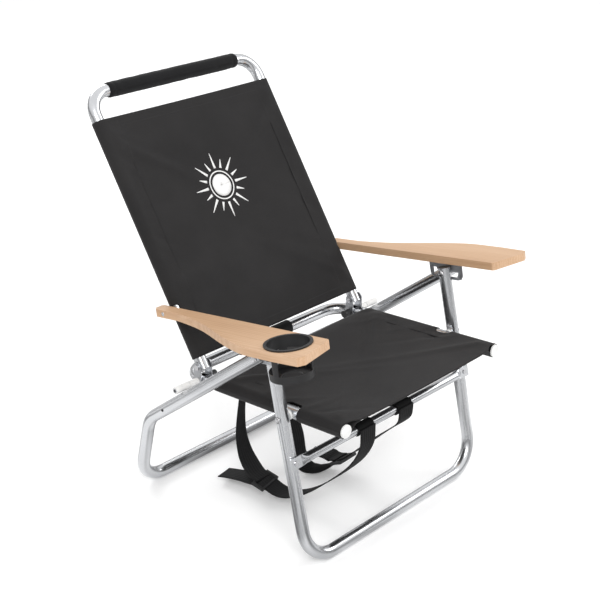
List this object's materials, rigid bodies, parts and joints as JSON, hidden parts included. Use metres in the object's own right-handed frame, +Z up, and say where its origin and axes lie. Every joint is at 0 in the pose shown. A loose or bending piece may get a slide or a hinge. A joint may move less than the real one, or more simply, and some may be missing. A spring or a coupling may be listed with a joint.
{
  "type": "folding beach chair",
  "caption": "Folding low beach chair with a tubular frame, fabric seat and back, flat wooden arms, a cup holder, notched recline and slack carrying straps.",
  "frame": {"origin": "on the ground below the middle of the chair's overall box", "axes": "+Z up, the sitter faces -Y, +X to the sitter's left"},
  "size_m": [0.594, 0.6331, 0.7166],
  "materials": {
    "polished_tube": "polished round tube with fine lengthwise lines",
    "bright_steel": "bright plated fasteners",
    "plate_steel": "zinc plated pressed sheet and pins",
    "black_cloth": "charcoal black plain weave with hemmed sleeves",
    "black_webbing": "ribbed black webbing",
    "light_wood": "light hardwood, lengthwise grain, satin varnish",
    "white_plastic": "white moulded nylon",
    "black_plastic": "black moulded plastic",
    "grip_foam": "black padded grip"
  },
  "bodies": {
    "front_legs": {"front_leg_frame": "polished_tube", "front_leg_plugs": "plate_steel", "front_stretcher": "polished_tube", "stretcher_rivets": "bright_steel", "apex_bolts_inner": "bright_steel", "seat_pivot_bolts": "bright_steel", "seat_pivot_spacers": "white_plastic", "seat_pivot_nuts": "bright_steel", "strap_front_right": "black_webbing", "strap_front_left": "black_webbing", "strap_loop_front_right": "black_webbing", "strap_loop_front_left": "black_webbing", "strap_tail_right": "black_webbing", "strap_tail_left": "black_webbing", "buckle_right": "black_plastic", "buckle_left": "black_plastic"},
    "seat": {"seat_frame": "polished_tube", "seat_end_caps": "white_plastic", "seat_sling": "black_cloth", "seat_rear_spreader": "polished_tube", "hinge_brackets": "plate_steel", "rest_pins": "plate_steel", "rest_sleeves_inner": "white_plastic", "rest_sleeves_outer": "white_plastic", "rest_pin_caps": "black_plastic", "strap_rear_right": "black_webbing", "strap_rear_left": "black_webbing", "strap_loop_rear_right": "black_webbing", "strap_loop_rear_left": "black_webbing"},
    "hinge_bolts": {"back_hinge_bolts": "bright_steel", "back_hinge_nuts": "bright_steel"},
    "back": {"back_frame": "polished_tube", "back_sling": "black_cloth", "back_grip": "grip_foam", "arm_inserts": "black_plastic"},
    "arm_pin_right": {"arm_bolt_right": "bright_steel"},
    "arm_pin_left": {"arm_bolt_left": "bright_steel"},
    "arm_right": {"arm_plank_right": "light_wood", "cup_holder": "black_plastic", "notch_plate_right": "plate_steel", "plate_screws_right": "bright_steel"},
    "arm_left": {"arm_plank_left": "light_wood", "notch_plate_left": "plate_steel", "plate_screws_left": "bright_steel"},
    "rear_legs": {"rear_leg_frame": "polished_tube", "rear_leg_plugs": "plate_steel", "apex_bolts_outer": "bright_steel", "knee_studs": "black_plastic"}
  },
  "joints": [
    {"name": "seat_fold", "type": "hinge", "parent": "front_legs", "child": "seat", "pos_m": [0, -0.19627, 0.2665], "axis": [-1, 0, 0], "range_deg": [0, 92.5], "deforming": ["strap_front_right", "strap_front_left", "strap_rear_right", "strap_rear_left", "strap_tail_right", "strap_tail_left", "buckle_right", "buckle_left"]},
    {"name": "back_fold", "type": "hinge", "parent": "seat", "child": "hinge_bolts", "pos_m": [0, 0.02373, 0.275], "axis": [1, 0, 0], "range_deg": [0, 99.45]},
    {"name": "recline", "type": "hinge", "parent": "hinge_bolts", "child": "back", "pos_m": [0, 0.02373, 0.275], "axis": [1, 0, 0], "range_deg": [0, 18]},
    {"name": "rear_leg_fold", "type": "hinge", "parent": "front_legs", "child": "rear_legs", "pos_m": [0, -0.17077, 0.378], "axis": [-1, 0, 0], "range_deg": [0, 72.05]},
    {"name": "arm_shift_right", "type": "hinge", "parent": "hinge_bolts", "child": "arm_pin_right", "pos_m": [0, -0.28479, -0.41503], "axis": [1, 0, 0], "range_deg": [0, 2.25]},
    {"name": "arm_fold_right", "type": "hinge", "parent": "arm_pin_right", "child": "arm_right", "pos_m": [0, 0.08248, 0.36515], "axis": [-1, 0, 0], "range_deg": [0, 99.65]},
    {"name": "arm_shift_left", "type": "hinge", "parent": "hinge_bolts", "child": "arm_pin_left", "pos_m": [0, -0.28479, -0.41503], "axis": [1, 0, 0], "range_deg": [0, 2.25]},
    {"name": "arm_fold_left", "type": "hinge", "parent": "arm_pin_left", "child": "arm_left", "pos_m": [0, 0.08248, 0.36515], "axis": [-1, 0, 0], "range_deg": [0, 99.65]}
  ],
  "couplings": [
    {"joint": "back_fold", "follows": "seat_fold", "ratio": 1.0746},
    {"joint": "rear_leg_fold", "follows": "seat_fold", "ratio": 0.7784},
    {"joint": "arm_shift_right", "follows": "recline", "ratio": 0.1243},
    {"joint": "arm_fold_right", "follows": "seat_fold", "ratio": 1.0768},
    {"joint": "arm_shift_left", "follows": "recline", "ratio": 0.1243},
    {"joint": "arm_fold_left", "follows": "seat_fold", "ratio": 1.0768}
  ]
}
